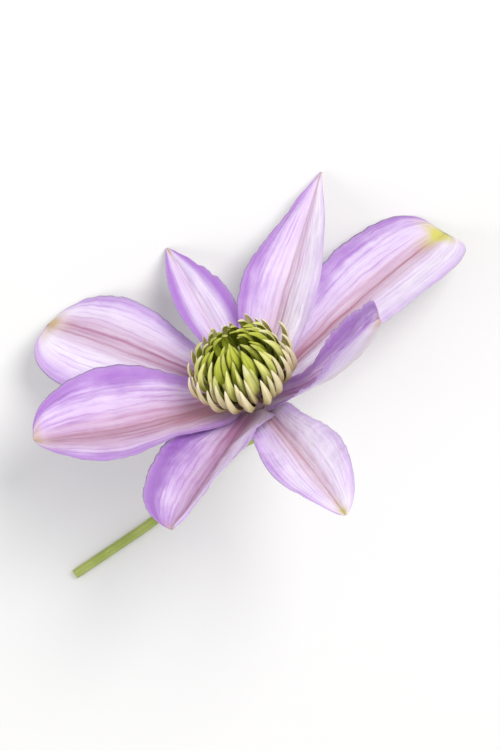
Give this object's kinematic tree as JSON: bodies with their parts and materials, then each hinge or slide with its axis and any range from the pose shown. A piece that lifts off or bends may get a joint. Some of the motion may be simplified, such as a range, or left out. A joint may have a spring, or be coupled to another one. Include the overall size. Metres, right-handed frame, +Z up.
{
  "type": "clematis flower",
  "caption": "Open double clematis flower with pale lilac sepals, a dome of pointed green staminodes and a cut stalk, lying on a surface.",
  "frame": {"origin": "middle of the bounding box's bottom, on the surface that the flower lies on", "axes": "+Z up from the surface, the stalk running towards -X and -Y, the flower facing up and towards +Y"},
  "size_m": [0.0875, 0.0845, 0.0648],
  "materials": {
    "sepal": "soft satin, petal-like, pale lilac with darker bars and margins",
    "outer_staminode": "matt, tan and cream plant tissue",
    "inner_staminode": "matt, olive green plant tissue",
    "pistils": "matt, downy, yellow green",
    "stalk": "satin green stem, slightly downy"
  },
  "bodies": {
    "root": {"sepal_1": "sepal", "sepal_2": "sepal", "sepal_3": "sepal", "sepal_4": "sepal", "sepal_5": "sepal", "sepal_6": "sepal", "sepal_7": "sepal", "sepal_8": "sepal", "staminode_a01": "outer_staminode", "staminode_a02": "outer_staminode", "staminode_a03": "outer_staminode", "staminode_a04": "outer_staminode", "staminode_a05": "outer_staminode", "staminode_a06": "outer_staminode", "staminode_a07": "outer_staminode", "staminode_a08": "outer_staminode", "staminode_a09": "outer_staminode", "staminode_a10": "outer_staminode", "staminode_a11": "outer_staminode", "staminode_a12": "outer_staminode", "staminode_a13": "outer_staminode", "staminode_a14": "outer_staminode", "staminode_a15": "outer_staminode", "staminode_a16": "outer_staminode", "staminode_a17": "outer_staminode", "staminode_a18": "outer_staminode", "staminode_b01": "inner_staminode", "staminode_b02": "inner_staminode", "staminode_b03": "inner_staminode", "staminode_b04": "inner_staminode", "staminode_b05": "inner_staminode", "staminode_b06": "inner_staminode", "staminode_b07": "inner_staminode", "staminode_b08": "inner_staminode", "staminode_b09": "inner_staminode", "staminode_b10": "inner_staminode", "staminode_b11": "inner_staminode", "staminode_b12": "inner_staminode", "staminode_b13": "inner_staminode", "staminode_b14": "inner_staminode", "staminode_c01": "inner_staminode", "staminode_c02": "inner_staminode", "staminode_c03": "inner_staminode", "staminode_c04": "inner_staminode", "staminode_c05": "inner_staminode", "staminode_c06": "inner_staminode", "staminode_c07": "inner_staminode", "staminode_c08": "inner_staminode", "staminode_c09": "inner_staminode", "staminode_c10": "inner_staminode", "staminode_d01": "inner_staminode", "staminode_d02": "inner_staminode", "staminode_d03": "inner_staminode", "staminode_d04": "inner_staminode", "staminode_d05": "inner_staminode", "staminode_d06": "inner_staminode", "pistils": "pistils", "stalk": "stalk"}
  },
  "joints": []
}
